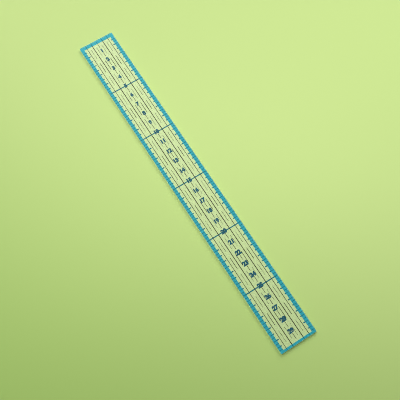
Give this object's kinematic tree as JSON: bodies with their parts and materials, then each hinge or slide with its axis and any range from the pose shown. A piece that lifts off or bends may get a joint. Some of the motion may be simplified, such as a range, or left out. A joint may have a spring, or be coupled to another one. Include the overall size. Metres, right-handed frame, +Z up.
{
  "type": "sewing ruler",
  "caption": "Clear straight sewing ruler, thin and narrow, with a metric edge scale, lengthwise guide lines and cross lines printed on its underside.",
  "frame": {"origin": "middle of the ruler's footprint, on the surface that it lies on", "axes": "+X across the ruler's width to the right when its numbers are upright, +Y along its length towards the zero end, +Z up out of the readable face"},
  "size_m": [0.031, 0.301, 0.0021],
  "materials": {
    "clear_acrylic": "clear, polished, glossy",
    "light_blue_ink": "opaque screen-print film, satin",
    "dark_blue_ink": "opaque screen-print film, satin",
    "black_ink": "opaque screen-print film, satin"
  },
  "bodies": {
    "root": {"clear_strip": "clear_acrylic", "zero_end_border": "light_blue_ink", "far_end_border": "light_blue_ink", "left_scale_border": "light_blue_ink", "right_scale_border": "light_blue_ink", "guide_line_left_1": "black_ink", "guide_line_left_2": "black_ink", "guide_line_right_1": "black_ink", "guide_line_right_2": "black_ink", "cross_line_1": "dark_blue_ink", "cross_line_2": "dark_blue_ink", "cross_line_3": "dark_blue_ink", "cross_line_4": "dark_blue_ink", "cross_line_5": "dark_blue_ink", "middle_dash_1": "black_ink", "middle_dash_2": "black_ink", "middle_dash_3": "black_ink", "middle_dash_4": "black_ink", "middle_dash_5": "black_ink", "middle_dash_6": "black_ink", "middle_dash_7": "black_ink", "middle_dash_8": "black_ink", "middle_dash_9": "black_ink", "middle_dash_10": "black_ink", "middle_dash_11": "black_ink", "middle_dash_12": "black_ink", "middle_dash_13": "black_ink", "middle_dash_14": "black_ink", "middle_dash_15": "black_ink", "middle_dash_16": "black_ink", "middle_dash_17": "black_ink", "middle_dash_18": "black_ink", "middle_dash_19": "black_ink", "middle_dash_20": "black_ink", "middle_dash_21": "black_ink", "middle_dash_22": "black_ink", "middle_dash_23": "black_ink", "middle_dash_24": "black_ink", "middle_dash_25": "black_ink", "middle_dash_26": "black_ink", "middle_dash_27": "black_ink", "middle_dash_28": "black_ink", "middle_dash_29": "black_ink", "middle_dash_30": "black_ink"}
  },
  "joints": []
}
